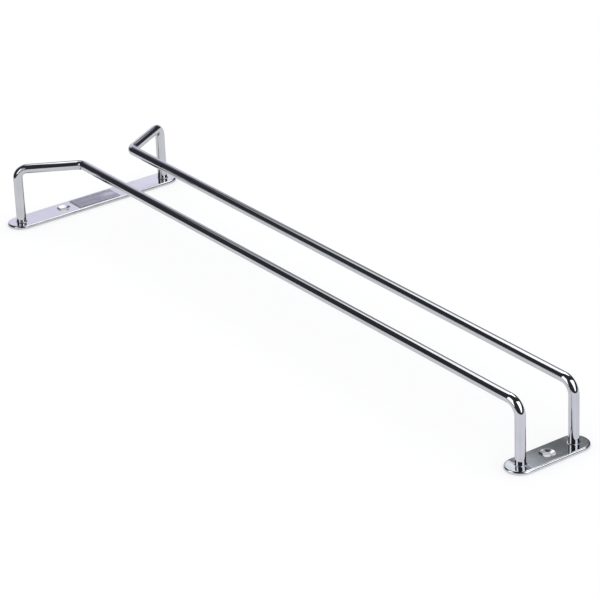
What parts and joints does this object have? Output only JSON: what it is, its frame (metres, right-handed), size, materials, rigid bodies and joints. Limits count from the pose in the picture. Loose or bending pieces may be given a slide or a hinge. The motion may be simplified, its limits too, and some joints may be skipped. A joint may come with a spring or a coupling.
{
  "type": "under-shelf stemware rack",
  "caption": "Single-row wire rack that screws under a shelf: bent chrome rails, flared at the open end, stand on flat plates and carry stemware by the foot.",
  "frame": {"origin": "centre of the bottom of the bounding box: midway between the two plates, on the middle plane, on the plane of the plates' screw faces", "axes": "+X runs along the rails from the open, flared end to the closed end; +Y is towards rail_left; +Z points from the screw faces towards the rails, so it points down when the rack is mounted under a shelf"},
  "size_m": [0.406, 0.11, 0.0357],
  "materials": {
    "wire_chrome": "bright chrome plate on drawn steel wire, mirror smooth with faint drawing lines",
    "plate_chrome": "bright chrome plate on stamped steel strip, slightly softer than the wire, polished rounded upper edge",
    "weld_chrome": "chrome plated over a small weld fillet, a little rougher than the wire",
    "blank_label": "matt grey brushed foil, no lettering"
  },
  "bodies": {
    "root": {"open_end_plate": "plate_chrome", "closed_end_plate": "plate_chrome", "rail_right": "wire_chrome", "rail_left": "wire_chrome", "weld_open_right": "weld_chrome", "weld_open_left": "weld_chrome", "weld_closed_right": "weld_chrome", "weld_closed_left": "weld_chrome", "id_label": "blank_label"}
  },
  "joints": []
}
